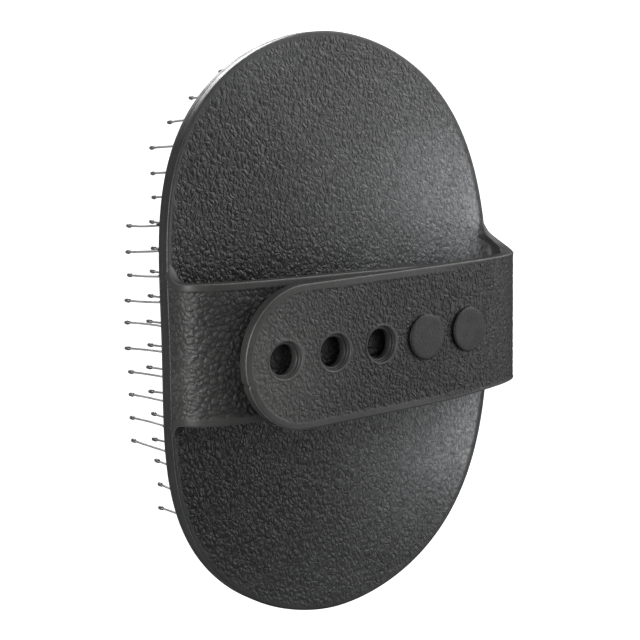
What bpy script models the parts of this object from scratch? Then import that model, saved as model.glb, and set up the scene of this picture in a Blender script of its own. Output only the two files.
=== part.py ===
"""Oval curry comb: rubber base plate, pad of ball-tipped pins, and a two-piece buttoned hand strap.

X runs across the comb, along the strap. Y is the long axis. Z is up, and the pin tips stand on Z = 0.
"""

import math

import bmesh
import bpy
from mathutils import Matrix, Vector

GAP = 0.0003  # clearance between pieces that touch

PLATE_LENGTH = 0.165
PLATE_WIDTH = 0.112
PLATE_END_POWER = 1.85  # roundness of the oval's ends
PLATE_SIDE_POWER = 3.35  # straightness of the oval's sides
OUTLINE_POINTS = 96
PLATE_THICKNESS = 0.0023
PAD_THICKNESS = 0.0020
RIM_ROUNDING = 0.0006

PIN_LENGTH = 0.0170  # from the pad's lower face to the tip
PIN_RADIUS = 0.00028
TIP_RADIUS = 0.00068
TIP_HEIGHT = 0.0017
TIP_BELLY_HEIGHT = 0.00094  # where a tip is widest
TIP_NOSE = (0.00041, 0.00017)  # radius and height of the small flat nose's edge
PIN_SIDES = 4
PIN_PITCH_X = 0.0075
PIN_PITCH_Y = 0.0068
PIN_COLUMNS = 15
PIN_ROWS = 22
PIN_FIELD_HALF_X = 0.056
PIN_FIELD_HALF_Y = 0.076
PIN_FIELD_POWER = 2.43
PIN_FIELD_Y = 0.00115  # the pin field sits this much off the middle of the plate
PIN_HOLE_SIDE = 0.0011
FOOT_STRIP_WIDTH = 0.0014
FOOT_STRIP_THICKNESS = 0.0006
FOOT_STRIP_OVERHANG = 0.0007
FOOT_CLEARANCE = 0.0002
GROOVE_DEPTH = FOOT_STRIP_THICKNESS + 2 * FOOT_CLEARANCE

STRAP_THICKNESS = 0.0038
STRAP_Y = -0.0015  # the straps cross the plate a little off its middle
OUTER_STRAP_WIDTH = 0.0390
INNER_STRAP_WIDTH = 0.0374
OUTER_STRAP_SPAN = 0.0554  # from the comb's middle to the middle of the riser's thickness
INNER_STRAP_SPAN = 0.0541
OUTER_STRAP_HEIGHT = 0.0181  # of the strap's middle over the plate's top face
ARCH_POWER = 4.5
ARCH_STEPS = 36
HINGE_HEIGHT = 0.0075  # of the flex line over the plate's top face
ROOT_STEPS = 6
OUTER_FLARE = (0.0080, 0.0110)  # spread along the rim and height of the hollow curve at a strap's foot
INNER_FLARE = (0.0045, 0.0055)
FLARE_STEPS = 8

TONGUE_TIP_X = -0.0430
TONGUE_ROUND_LENGTH = 0.0182
TONGUE_SKEW = 0.033  # the outer strap lies slightly across the inner one
SKEW_PIVOT_X = 0.0400
INNER_TIP_X = 0.0455
INNER_ROUND_LENGTH = 0.0181
ROUND_STEPS = 24

HOLE_COUNT = 5
HOLE_PITCH = 0.0159
FIRST_HOLE_X = -0.0310
HOLE_RADIUS = 0.0050
HOLE_LIP_RADIUS = 0.0041
HOLE_LIP_DEPTH = 0.0014
STUD_HOLES = (3, 4)  # the two holes nearest the outer strap's root hold the studs
STUD_NECK_RADIUS = 0.0037
STUD_HEAD_RADIUS = 0.0064
STUD_HEAD_THICKNESS = 0.0011
STUD_FOOT_RADIUS = 0.0060
STUD_FOOT_THICKNESS = 0.0012
STUD_EDGE = 0.0004
TURN_STEPS = 28

RUBBER_COLOUR = (0.050, 0.052, 0.053, 1.0)
PAD_COLOUR = (0.040, 0.041, 0.042, 1.0)
STEEL_COLOUR = (0.42, 0.42, 0.42, 1.0)

PAD_BOTTOM = PIN_LENGTH
PAD_TOP = PAD_BOTTOM + PAD_THICKNESS
PLATE_BOTTOM = PAD_TOP + GAP
PLATE_TOP = PLATE_BOTTOM + PLATE_THICKNESS
PLATE_MIDDLE = (PLATE_BOTTOM + PLATE_TOP) / 2
HINGE_Z = PLATE_TOP + HINGE_HEIGHT
LAYER_STEP = STRAP_THICKNESS + GAP
INNER_STRAP_HEIGHT = OUTER_STRAP_HEIGHT - LAYER_STEP
FAR = 0.2  # longer than the comb, for tools that cut right across it

FACING_X = Matrix(((0, 0, 1, 0), (1, 0, 0, 0), (0, 1, 0, 0), (0, 0, 0, 1)))
FACING_Y = Matrix.Rotation(math.pi / 2, 4, "X")


def clear_scene():
    for obj in list(bpy.data.objects):
        bpy.data.objects.remove(obj)


def new_collection(name):
    collection = bpy.data.collections.new(name)
    bpy.context.scene.collection.children.link(collection)
    return collection


def plain_material(name, colour, roughness, metallic=0.0):
    material = bpy.data.materials.new(name)
    material.use_nodes = True
    shader = material.node_tree.nodes["Principled BSDF"]
    shader.inputs["Base Color"].default_value = colour
    shader.inputs["Roughness"].default_value = roughness
    shader.inputs["Metallic"].default_value = metallic
    return material


def add_object(name, mesh, collection):
    obj = bpy.data.objects.new(name, mesh)
    collection.objects.link(obj)
    return obj


def evaluated_mesh(obj):
    """A new mesh of the object as its modifiers or its curve settings leave it."""
    graph = bpy.context.evaluated_depsgraph_get()
    return bpy.data.meshes.new_from_object(obj.evaluated_get(graph))


def prism(outline, depth, rounding=0.0):
    """Mesh of a closed flat outline in XY, extruded to half its depth on each side of Z = 0."""
    curve = bpy.data.curves.new("outline", "CURVE")
    curve.dimensions = "2D"
    curve.fill_mode = "BOTH"
    curve.extrude = depth / 2 - rounding
    curve.bevel_depth = rounding
    curve.bevel_resolution = 1
    curve.offset = -rounding
    spline = curve.splines.new("POLY")
    spline.points.add(len(outline) - 1)
    for point, (x, y) in zip(spline.points, outline):
        point.co = (x, y, 0.0, 1.0)
    spline.use_cyclic_u = True
    draft = add_object("draft", curve, bpy.context.scene.collection)
    mesh = evaluated_mesh(draft)
    bpy.data.objects.remove(draft)
    bpy.data.curves.remove(curve)
    shape = bmesh.new()
    shape.from_mesh(mesh)
    bmesh.ops.remove_doubles(shape, verts=shape.verts, dist=1e-6)
    bmesh.ops.recalc_face_normals(shape, faces=shape.faces)
    shape.to_mesh(mesh)
    shape.free()
    return mesh


def turned(profile, steps):
    """Mesh of a profile of (radius, height) points, listed from the top down, turned about Z."""
    mesh = bpy.data.meshes.new("profile")
    edges = [(index, index + 1) for index in range(len(profile) - 1)]
    mesh.from_pydata([(radius, 0.0, height) for radius, height in profile], edges, [])
    draft = add_object("draft", mesh, bpy.context.scene.collection)
    screw = draft.modifiers.new("turn", "SCREW")
    screw.steps = steps
    screw.render_steps = steps
    screw.use_merge_vertices = True
    screw.merge_threshold = 0.00001
    solid = evaluated_mesh(draft)
    bpy.data.objects.remove(draft)
    return solid


def box(size):
    shape = bmesh.new()
    bmesh.ops.create_cube(shape, size=1.0, matrix=Matrix.Diagonal((*size, 1.0)))
    mesh = bpy.data.meshes.new("box")
    shape.to_mesh(mesh)
    shape.free()
    return mesh


def placed(mesh, *places):
    """One mesh that holds a copy of the given mesh at each placement matrix."""
    shape = bmesh.new()
    for place in places:
        copy = mesh.copy()
        copy.transform(place)
        shape.from_mesh(copy)
        bpy.data.meshes.remove(copy)
    joined = bpy.data.meshes.new("placed")
    shape.to_mesh(joined)
    shape.free()
    return joined


def combine(obj, operation, tool_mesh, cutters):
    """Adds an exact Boolean to the object, with a hidden tool object made from the mesh."""
    tool = add_object(f"{obj.name}_{operation.lower()}", tool_mesh, cutters)
    tool.display_type = "WIRE"
    tool.hide_render = True
    boolean = obj.modifiers.new(operation.lower(), "BOOLEAN")
    boolean.operation = operation
    boolean.solver = "EXACT"
    boolean.object = tool
    return tool


def keep_result(obj, origin=(0.0, 0.0, 0.0), shear=None):
    """Replaces the object's mesh by its evaluated one, sheared and moved to its own origin."""
    mesh = evaluated_mesh(obj)
    obj.modifiers.clear()
    if shear:
        mesh.transform(shear)
    mesh.transform(Matrix.Translation(-Vector(origin)))
    obj.data = mesh
    obj.location = origin


def finish(obj, material, sharp_angle=math.radians(35)):
    obj.data.materials.clear()
    obj.data.materials.append(material)
    obj.data.shade_smooth()
    obj.data.set_sharp_from_angle(angle=sharp_angle)


def oval(inset=0.0):
    """Outline of the plate: a superellipse whose ends are rounder than its sides."""
    half_x = PLATE_WIDTH / 2 - inset
    half_y = PLATE_LENGTH / 2 - inset
    points = []
    for step in range(OUTLINE_POINTS):
        angle = 2 * math.pi * step / OUTLINE_POINTS
        c, s = math.cos(angle), math.sin(angle)
        x = half_x * math.copysign(abs(c) ** (2 / PLATE_END_POWER), c)
        y = half_y * math.copysign(abs(s) ** (2 / PLATE_SIDE_POWER), s)
        points.append((x, y))
    return points


def arch_height(x, span, height):
    return PLATE_TOP + height * (1 - (abs(x) / span) ** ARCH_POWER) ** (1 / ARCH_POWER)


def arch_line(root_span, far_span, height, tip_x):
    """(x, z) points along the middle of a strap, from its flex line at +X over the top to tip_x."""
    power = 2 / ARCH_POWER
    start = math.asin((HINGE_HEIGHT / height) ** (1 / power))
    end = math.pi - math.acos((abs(tip_x) / far_span) ** (1 / power))
    points = []
    for step in range(ARCH_STEPS + 1):
        angle = start + (end - start) * step / ARCH_STEPS
        c, s = math.cos(angle), math.sin(angle)
        x = root_span * c ** power if c > 0 else -far_span * abs(c) ** power
        points.append(Vector((x, PLATE_TOP + height * s ** power)))
    return points


def band_outline(line):
    """Closed outline of a band of the strap's thickness about a line, half-round at its first end."""
    half = STRAP_THICKNESS / 2
    last = len(line) - 1
    along = [(line[min(i + 1, last)] - line[max(i - 1, 0)]).normalized() for i in range(last + 1)]
    sides = [Vector((-direction.y, direction.x)) * half for direction in along]
    left = [point + side for point, side in zip(line, sides)]
    right = [point - side for point, side in zip(line, sides)]
    root = []
    for step in range(1, ROOT_STEPS):
        angle = math.pi * step / ROOT_STEPS
        root.append(line[0] - sides[0] * math.cos(angle) - along[0] * half * math.sin(angle))
    return left + right[::-1] + root


def flare_outline(strap_width, flare, top):
    """Closed (y, z) outline of a strap's riser: straight sides that spread in a hollow curve below."""
    half = strap_width / 2
    flare_width, flare_height = flare
    side = [(half + flare_width, PLATE_MIDDLE)]
    for step in range(FLARE_STEPS + 1):
        rise = step / FLARE_STEPS
        spread = 1 - math.sqrt(1 - (1 - rise) ** 2)
        side.append((half + flare_width * spread, PLATE_TOP + flare_height * rise))
    side = [point for point in side if point[1] < top - GAP]
    rise = min((top - PLATE_TOP) / flare_height, 1.0)
    spread = 1 - math.sqrt(1 - (1 - rise) ** 2)
    side.append((half + flare_width * spread, top))
    return [(y + STRAP_Y, z) for y, z in side] + [(STRAP_Y - y, z) for y, z in side[::-1]]


def tongue_outline(tip_x, round_length, half_width):
    """Closed (x, y) outline that rounds a strap's free end; it is wide open towards +X."""
    points = [(FAR / 2, FAR / 4), (tip_x + round_length, FAR / 4)]
    for step in range(ROUND_STEPS + 1):
        angle = math.pi * step / ROUND_STEPS
        x = tip_x + round_length * (1 - math.sin(angle))
        points.append((x, STRAP_Y + half_width * math.cos(angle)))
    return points + [(tip_x + round_length, -FAR / 4), (FAR / 2, -FAR / 4)]


def strap_frame(x):
    """Placement at a spot on the middle of the outer strap, with Z square to the strap."""
    span = OUTER_STRAP_SPAN if x > 0 else INNER_STRAP_SPAN + LAYER_STEP
    step = 1e-5
    rise = arch_height(x + step, span, OUTER_STRAP_HEIGHT) - arch_height(x - step, span, OUTER_STRAP_HEIGHT)
    tilt = -math.atan2(rise, 2 * step)
    y = STRAP_Y + TONGUE_SKEW * (x - SKEW_PIVOT_X)
    place = Matrix.Translation((x, y, arch_height(x, span, OUTER_STRAP_HEIGHT)))
    return place @ Matrix.Rotation(tilt, 4, "Y")


def hole_frames():
    return [strap_frame(FIRST_HOLE_X + HOLE_PITCH * index) for index in range(HOLE_COUNT)]


def rounded_strap(name, line, width, flare, tip_x, round_length, collection, cutters):
    """A strap that hinges at +X, with a flared root and a round free end."""
    band = prism(band_outline(line), FAR / 2)
    strap = add_object(name, placed(band, FACING_Y), collection)
    riser = prism(flare_outline(width, flare, FAR / 4), FAR)
    combine(strap, "INTERSECT", placed(riser, FACING_X), cutters)
    tongue = prism(tongue_outline(tip_x, round_length, width / 2), FAR)
    combine(strap, "INTERSECT", tongue, cutters)
    return strap


def make_outer_strap(collection, cutters, material):
    """The strap with the five stepped button holes, rooted at the right edge of the plate."""
    line = arch_line(OUTER_STRAP_SPAN, INNER_STRAP_SPAN + LAYER_STEP, OUTER_STRAP_HEIGHT, TONGUE_TIP_X)
    shape = (OUTER_STRAP_WIDTH, OUTER_FLARE, TONGUE_TIP_X, TONGUE_ROUND_LENGTH)
    strap = rounded_strap("outer_strap", line, *shape, collection, cutters)
    shear = Matrix.Identity(4)
    shear[1][0] = TONGUE_SKEW
    shear[1][3] = -TONGUE_SKEW * SKEW_PIVOT_X
    keep_result(strap, shear=shear)
    half = STRAP_THICKNESS / 2
    profile = [
        (0.0, 2 * half),
        (HOLE_RADIUS, 2 * half),
        (HOLE_RADIUS, HOLE_LIP_DEPTH - half),
        (HOLE_LIP_RADIUS, HOLE_LIP_DEPTH - half),
        (HOLE_LIP_RADIUS, -2 * half),
        (0.0, -2 * half),
    ]
    combine(strap, "DIFFERENCE", placed(turned(profile, TURN_STEPS), *hole_frames()), cutters)
    keep_result(strap, origin=(line[0].x, STRAP_Y, HINGE_Z))
    finish(strap, material)


def make_inner_strap(collection, cutters, material):
    """The strap that carries the studs, rooted at the left edge: built hinged at +X, then turned."""
    line = arch_line(INNER_STRAP_SPAN, OUTER_STRAP_SPAN - LAYER_STEP, INNER_STRAP_HEIGHT, -INNER_TIP_X)
    shape = (INNER_STRAP_WIDTH, INNER_FLARE, -INNER_TIP_X, INNER_ROUND_LENGTH)
    strap = rounded_strap("inner_strap", line, *shape, collection, cutters)
    keep_result(strap)
    strap.data.transform(Matrix.Diagonal((-1.0, 1.0, 1.0, 1.0)))
    strap.data.flip_normals()
    radius = STUD_NECK_RADIUS + GAP
    top, bottom = 0.0, -2 * LAYER_STEP
    profile = [(0.0, top), (radius, top), (radius, bottom), (0.0, bottom)]
    frames = hole_frames()
    necks = placed(turned(profile, TURN_STEPS), *(frames[i] for i in STUD_HOLES))
    combine(strap, "DIFFERENCE", necks, cutters)
    keep_result(strap, origin=(-line[0].x, STRAP_Y, HINGE_Z))
    finish(strap, material)


def make_studs(collection, material):
    """Spool-shaped buttons: a wide head over the outer strap, a neck, and a foot under the inner strap."""
    head_under = STRAP_THICKNESS / 2 + GAP
    head_top = head_under + STUD_HEAD_THICKNESS
    foot_top = -LAYER_STEP - STRAP_THICKNESS / 2 - GAP
    foot_bottom = foot_top - STUD_FOOT_THICKNESS
    profile = [
        (0.0, head_top),
        (STUD_HEAD_RADIUS - STUD_EDGE, head_top),
        (STUD_HEAD_RADIUS, head_top - STUD_EDGE),
        (STUD_HEAD_RADIUS, head_under),
        (STUD_NECK_RADIUS, head_under),
        (STUD_NECK_RADIUS, foot_top),
        (STUD_FOOT_RADIUS, foot_top),
        (STUD_FOOT_RADIUS, foot_bottom),
        (0.0, foot_bottom),
    ]
    mesh = turned(profile, TURN_STEPS)
    frames = hole_frames()
    for number, hole in enumerate(STUD_HOLES, start=1):
        stud = add_object(f"stud_{number}", mesh, collection)
        stud.matrix_world = frames[hole]
        finish(stud, material)


def riser_foot(side, strap_width, flare):
    """The raised rim that one strap grows from: a ring of the plate's outline, cut to the flared shape."""
    top = HINGE_Z - STRAP_THICKNESS / 2 - GAP
    height = top - PLATE_MIDDLE
    lift = Matrix.Translation((0, 0, (top + PLATE_MIDDLE) / 2))
    outer = placed(prism(oval(), height), lift)
    inner = placed(prism(oval(STRAP_THICKNESS), 2 * height), lift)
    limits = prism(flare_outline(strap_width, flare, top), PLATE_WIDTH / 2)
    across = Matrix.Translation((side * PLATE_WIDTH / 2, 0, 0))
    return outer, inner, placed(limits, across @ FACING_X)


def make_base_plate(collection, cutters, material):
    """The moulded oval plate, with a raised foot at each side for the straps."""
    slab = prism(oval(), PLATE_THICKNESS, RIM_ROUNDING)
    plate = add_object("base_plate", placed(slab, Matrix.Translation((0, 0, PLATE_MIDDLE))), collection)
    for side, width, flare in ((-1, INNER_STRAP_WIDTH, INNER_FLARE), (1, OUTER_STRAP_WIDTH, OUTER_FLARE)):
        outer, inner, limits = riser_foot(side, width, flare)
        foot = combine(plate, "UNION", outer, cutters)
        combine(foot, "DIFFERENCE", inner, cutters)
        combine(foot, "INTERSECT", limits, cutters)
    finish(plate, material)


def pin_layout():
    """For each row of pins, its Y and the X of every pin, inside an oval field."""
    rows = []
    for row in range(PIN_ROWS):
        y = (row - (PIN_ROWS - 1) / 2) * PIN_PITCH_Y
        columns = [(column - (PIN_COLUMNS - 1) / 2) * PIN_PITCH_X for column in range(PIN_COLUMNS)]
        reach_y = (abs(y) / PIN_FIELD_HALF_Y) ** PIN_FIELD_POWER
        inside = [x for x in columns if (abs(x) / PIN_FIELD_HALF_X) ** PIN_FIELD_POWER + reach_y <= 1]
        rows.append((y + PIN_FIELD_Y, inside))
    return rows


def make_pin_pad(collection, cutters, material):
    """The layer under the plate: a groove on top for each row's foot strip, and a hole for each pin."""
    slab = prism(oval(), PAD_THICKNESS, RIM_ROUNDING)
    middle = (PAD_BOTTOM + PAD_TOP) / 2
    pad = add_object("pin_pad", placed(slab, Matrix.Translation((0, 0, middle))), collection)
    floor = PAD_TOP - GROOVE_DEPTH
    unit = box((1.0, 1.0, 1.0))
    grooves = []
    holes = []
    for y, columns in pin_layout():
        length = 2 * (columns[-1] + FOOT_STRIP_OVERHANG + GAP)
        width = FOOT_STRIP_WIDTH + 2 * FOOT_CLEARANCE
        size = Matrix.Diagonal((length, width, 2 * GROOVE_DEPTH, 1.0))
        grooves.append(Matrix.Translation((0, y, floor + GROOVE_DEPTH)) @ size)
        for x in columns:
            size = Matrix.Diagonal((PIN_HOLE_SIDE, PIN_HOLE_SIDE, 2 * PAD_THICKNESS, 1.0))
            holes.append(Matrix.Translation((x, y, floor + GAP - PAD_THICKNESS)) @ size)
    combine(pad, "DIFFERENCE", placed(unit, *grooves), cutters)
    combine(pad, "DIFFERENCE", placed(unit, *holes), cutters)
    finish(pad, material)


def make_pin_rows(collection, cutters, material):
    """Each row of ball-tipped pins, joined at the feet by a strip held between the pad and the plate."""
    strip_middle = PAD_TOP - GROOVE_DEPTH + FOOT_CLEARANCE + FOOT_STRIP_THICKNESS / 2
    profile = [
        (0.0, strip_middle),
        (PIN_RADIUS, strip_middle),
        (PIN_RADIUS, TIP_HEIGHT),
        (TIP_RADIUS, TIP_BELLY_HEIGHT),
        TIP_NOSE,
        (0.0, 0.0),
    ]
    pin = turned(profile, PIN_SIDES)
    for number, (y, columns) in enumerate(pin_layout(), start=1):
        length = 2 * (columns[-1] + FOOT_STRIP_OVERHANG)
        strip = box((length, FOOT_STRIP_WIDTH, FOOT_STRIP_THICKNESS))
        strip = placed(strip, Matrix.Translation((0, 0, strip_middle)))
        row = add_object(f"pin_row_{number:02d}", strip, collection)
        row.location = (0, y, 0)
        pins = placed(pin, *(Matrix.Translation((x, 0, 0)) for x in columns))
        tool = combine(row, "UNION", pins, cutters)
        tool.location = row.location
        finish(row, material)


def build():
    clear_scene()
    comb = new_collection("curry_comb")
    cutters = new_collection("cutters")
    rubber = plain_material("rubber", RUBBER_COLOUR, 0.62)
    pad_rubber = plain_material("pad_rubber", PAD_COLOUR, 0.70)
    strap_rubber = plain_material("strap_rubber", RUBBER_COLOUR, 0.58)
    stud_rubber = plain_material("stud_rubber", RUBBER_COLOUR, 0.50)
    steel = plain_material("steel", STEEL_COLOUR, 0.35, metallic=1.0)
    make_base_plate(comb, cutters, rubber)
    make_pin_pad(comb, cutters, pad_rubber)
    make_pin_rows(comb, cutters, steel)
    make_inner_strap(comb, cutters, strap_rubber)
    make_outer_strap(comb, cutters, strap_rubber)
    make_studs(comb, stud_rubber)


build()
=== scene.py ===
"""Looks of the oval rubber curry comb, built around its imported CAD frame.

X runs across the comb, along the strap. Y is the long axis. Z is up, and the pin tips stand near Z = 0.
All lengths are in metres. The shape constants repeat those of the CAD source.
"""

import math
import random
from types import SimpleNamespace

import bmesh
import bpy
import numpy as np
from mathutils import Matrix, Vector, geometry, kdtree, noise


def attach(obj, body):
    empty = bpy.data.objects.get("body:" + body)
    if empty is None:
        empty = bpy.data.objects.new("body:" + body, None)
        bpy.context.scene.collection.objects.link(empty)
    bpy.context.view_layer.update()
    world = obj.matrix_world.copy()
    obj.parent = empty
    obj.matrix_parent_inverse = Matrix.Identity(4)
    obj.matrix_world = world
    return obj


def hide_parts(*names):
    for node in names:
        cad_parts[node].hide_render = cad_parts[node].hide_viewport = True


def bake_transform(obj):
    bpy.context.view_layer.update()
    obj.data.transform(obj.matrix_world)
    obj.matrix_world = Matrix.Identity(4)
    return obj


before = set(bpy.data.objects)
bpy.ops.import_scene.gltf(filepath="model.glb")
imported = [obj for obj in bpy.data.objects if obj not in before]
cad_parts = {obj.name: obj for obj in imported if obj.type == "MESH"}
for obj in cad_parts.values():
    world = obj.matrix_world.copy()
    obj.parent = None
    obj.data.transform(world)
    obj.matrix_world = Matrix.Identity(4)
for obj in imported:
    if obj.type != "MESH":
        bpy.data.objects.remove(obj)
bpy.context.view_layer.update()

PLATE_LENGTH = 0.165
PLATE_WIDTH = 0.112
PLATE_END_POWER = 1.85
PLATE_SIDE_POWER = 3.35
PAD_BOTTOM = 0.0170
PLATE_TOP = 0.0216
PARTING = 0.01915  # height of the faint line between pad and plate
RIM_ROUNDING = 0.0005
PARTING_ROUNDING = 0.00005
PLATE_BORDER = (0.0005, 0.0016)  # the grain of the plate rises over this distance from its edge

PIN_RADIUS = 0.00032
TIP_RADIUS = 0.00062
TIP_LENGTH = 0.0023
PIN_PITCH_X = 0.0075
PIN_PITCH_Y = 0.0068
PIN_COLUMNS = 15
PIN_ROWS = 22
PIN_FIELD_HALF_X = 0.056
PIN_FIELD_HALF_Y = 0.076
PIN_FIELD_POWER = 2.43
PIN_FIELD_Y = 0.00115
SIDE_SPLAY = 0.0029  # outward lean of the tips beside the strap
EDGE_SPLAY_LESS = 0.0014  # how much less the outermost column leans
SPLAY_Y = -0.008  # the tips lean most here, and less with distance along Y
SPLAY_REACH = 0.038
SPLAY_FULL_X = 0.035  # from the middle out to here the lean grows
EDGE_COLUMN = (0.045, 0.0525)  # the lean lessens over this stretch of X
END_SPLAY = 0.0024  # outward lean of the tips near the plate's +Y end
END_SPLAY_RISE = (0.050, 0.058)
END_SPLAY_FALL = (0.066, 0.072)
PIN_SIDES = 8
WIRE_SPOTS = 6
BEAD_SPOTS = 8
BEAD_START = 0.12  # share of the bead's half turn that the wire hides
ROOT_SINK = 0.0008  # a wire starts this far inside the pad
PIN_SEED = 7
PIN_BEND = 0.00035  # how far a wire strays from straight
PIN_STRAY = 0.00045  # how far a tip strays from its place
SOCKET_LENGTH = 0.0036
SOCKET_SIDES = 12
SOCKET_SEED = 11

STRAP_THICKNESS = 0.0038
GAP = 0.0003
LAYER_STEP = STRAP_THICKNESS + GAP
STRAP_Y = -0.0015
OUTER_STRAP_WIDTH = 0.0390
INNER_STRAP_WIDTH = 0.0374
OUTER_STRAP_SPAN = 0.0567  # the tight strap bulges a little past its straight riser
INNER_STRAP_SPAN = 0.0541
OUTER_STRAP_HEIGHT = 0.0181
INNER_STRAP_HEIGHT = OUTER_STRAP_HEIGHT - LAYER_STEP
ARCH_POWER = 4.5
FLARE_POWER = 1.7  # roundness of the hollow curve at a strap's foot; 2 is a quarter of an ellipse
# Spread along the rim and height of the hollow curve at a strap's foot, on its -Y and +Y sides.
OUTER_FLARES = ((0.0055, 0.0060), (0.0098, 0.0125))
INNER_FLARES = ((0.0045, 0.0055), (0.0050, 0.0060))
ROOT_BOTTOM = 0.0173  # a riser's face runs down the plate's side to here
ROOT_FILLET = 0.0018  # where a riser's inner face meets the plate
FLUSH_TOP = 0.0025  # up to this height over the plate a riser leans out from the plate's side
PROUD = 0.00006  # a riser's face stands out from the plate's side by this much
FLARE_THINNING = 0.85  # the end of a flare is thinner than the strap by this share
FLARE_SINK = 0.0006  # the ends of the flares sink into the plate's side by this much
ROOT_THINNING = 0.42  # a riser's foot is thinner than the strap by this share
THIN_ROOT_HEIGHT = 0.012
WAIST = 0.0006  # the outer strap narrows by twice this on its lower edge, towards its root
WAIST_SPAN = (0.015, 0.055)
HINGE_Z = 0.0291
LIFT_END_Z = HINGE_Z + 0.004  # above this the strap doesn't follow the lift of the plate's side
TONGUE_TIP_X = -0.0430
TONGUE_ROUND_LENGTH = 0.0182
TONGUE_SKEW = 0.033
SKEW_PIVOT_X = 0.0400
INNER_TIP_X = 0.0455
INNER_ROUND_LENGTH = 0.0181
LINE_OVERRUN = 0.0002  # a strap's line is made this much longer than the strap
EDGE_ROUNDING = 0.0005
EDGE_STEPS = 4
CORNER_PASSES = 5
NICK_Y = -0.0055  # small mould nick in the end of the tongue
NICK_HALF_WIDTH = 0.0004
NICK_DEPTH = 0.0005
HIGHLIGHT_RING = 1  # the ring of a rounded edge that carries the painted highlight
BORDER = 0.0016  # smooth border along the straps' edges
PAINTED_HIGHLIGHT_LIGHTNESS = 3.2  # the painted highlight along the rounded edges is this many times lighter
BORDER_FADE = (0.010, 0.042)  # the outer strap's border dies away over this stretch towards its root
BORDER_STEP = 0.00012  # the grained field lies this much lower
BORDER_BLUR = 0.0003
RIM_FADE = 0.0007  # the grain fades out over this distance from any edge

HOLE_COUNT = 5
HOLE_PITCH = 0.0159
FIRST_HOLE_X = -0.0310
HOLE_RADIUS = 0.0050
HOLE_LIP_RADIUS = 0.0041
HOLE_LIP_DEPTH = 0.0014
HOLE_MOUTH = 0.0003  # rounding of a hole's mouth
LEDGE_ROUNDING = 0.00015
STUD_HOLES = (3, 4)
STUD_NECK_RADIUS = 0.0037
STUD_HEAD_RADIUS = 0.0064
STUD_HEAD_THICKNESS = 0.0011
HEAD_FLATNESS = 0.42  # the heads are squashed to this share of their height
HEAD_LEAN = 0.035  # slope of a head, standing proud on the side of the tongue
STUD_FOOT_RADIUS = 0.0060
STUD_FOOT_THICKNESS = 0.0012
STUD_SIDES = 96
STUD_CLEARANCE = 0.00005
NECK_FILLET = 0.0004
FOOT_ROUNDING = 0.0003
HEAD_UNEVENNESS = 0.010
# Radius, and drop below the top, of the upper side of a stud's head.
HEAD_PROFILE = (
    (0.0, 0.0),
    (0.0030, 0.0),
    (0.0048, 0.00002),
    (0.0057, 0.00008),
    (0.0061, 0.00022),
    (0.0063, 0.00045),
    (STUD_HEAD_RADIUS, 0.00080),
)

RIM_LIFT = 0.0025  # the tight strap lifts the plate's sides by this much
RIM_LIFT_POWER = 4.4
RIM_LIFT_REACH = 0.0425
BOW = 0.30  # the plate's ends droop by this times the square of Y

PLATE_SPACING = 0.00044
STRAP_SPACING = 0.00026
COARSE_SPACING = 0.0020
BACK_SPACING = 0.0012
PLATE_EDGE_SPACING = 0.0006
STRAP_EDGE_SPACING = 0.0004
HOLE_EDGE_SPACING = 0.00045
LINE_SPACING = 0.0001

GRAIN_SEED = 5  # noise_vector is drawn from the clock unless it is seeded
PLATE_GRAIN_DEPTH = 0.00017
OUTER_GRAIN_DEPTH = 0.00016
INNER_GRAIN_DEPTH = 0.00032
PLATE_GRAIN = dict(size=0.00150, stretch=1.25, join=0.45)
OUTER_GRAIN = dict(size=0.00135, seed=4.0, join=0.35)
INNER_GRAIN = dict(size=0.0016, seed=9.0, join=0.20, crease_width=0.45, bend=0.40)
WORN_PLACE = 0.011  # where along the inner strap its grain is worn, measured from its root
WORN_REACH = 0.006
WORN_SHARE = 0.35
WARP_SCALE = 0.9  # how fast the pebbles bend and join, per pebble
JOIN_SCALE = 1.3
JOIN_SHIFT = Vector((7.1, 3.3, 0.0))
JOIN_CONTRAST = 1.6

# Painted sheen: the grained rubber is lightened along X by e over each of these lengths, towards +X on the
# plate and towards -X on the straps. It fades out over the stretch of |Y| given below.
PLATE_PAINTED_SHEEN = 0.025
STRAP_PAINTED_SHEEN = -0.028
PAINTED_SHEEN_FADE = (0.045, 0.075)
CELL_SHAPE = (1.1, 0.75, 1.0)  # the cells of the fine grain are longer along Y
CLOUD_SCALE = 32.0
SPECK_SCALE = 900.0
GLOSS_SCALE = 260.0
DUST_SCALE = 1700.0
DUST_DEPTH = 0.00010
STRAP_COLOUR = (0.0340, 0.0340, 0.0332)
# crease, in the rubbers below, is how far the painted shade darkens the grain's creases.
PLATE_RUBBER = dict(
    colour=(0.0192, 0.0196, 0.0202),
    roughness=0.42,
    sheen_reach=PLATE_PAINTED_SHEEN,
    field_tone=1.5,
    cell=0.0014,
    cell_depth=0.00013,
    crease=0.4,
)
PAD_RUBBER = dict(colour=(0.018, 0.018, 0.0185), roughness=0.50, sheen_reach=PLATE_PAINTED_SHEEN, field_tone=1.0)
STRAP_RUBBER = dict(
    colour=STRAP_COLOUR,
    roughness=0.47,
    sheen_reach=STRAP_PAINTED_SHEEN,
    field_tone=0.40,
    cell=0.0014,
    cell_depth=0.00011,
)
BAND_RUBBER = dict(
    colour=(0.0300, 0.0300, 0.0293),
    roughness=0.50,
    sheen_reach=STRAP_PAINTED_SHEEN,
    field_tone=0.17,
    cell_depth=0.00004,
    crease=0.30,
)
STUD_RUBBER = dict(
    colour=STRAP_COLOUR, roughness=0.54, sheen_reach=STRAP_PAINTED_SHEEN, field_tone=0.42, cell_depth=0.00003
)
WIRE_COLOUR = (0.26, 0.26, 0.265)
TIP_COLOUR = (0.07, 0.069, 0.067)

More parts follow.
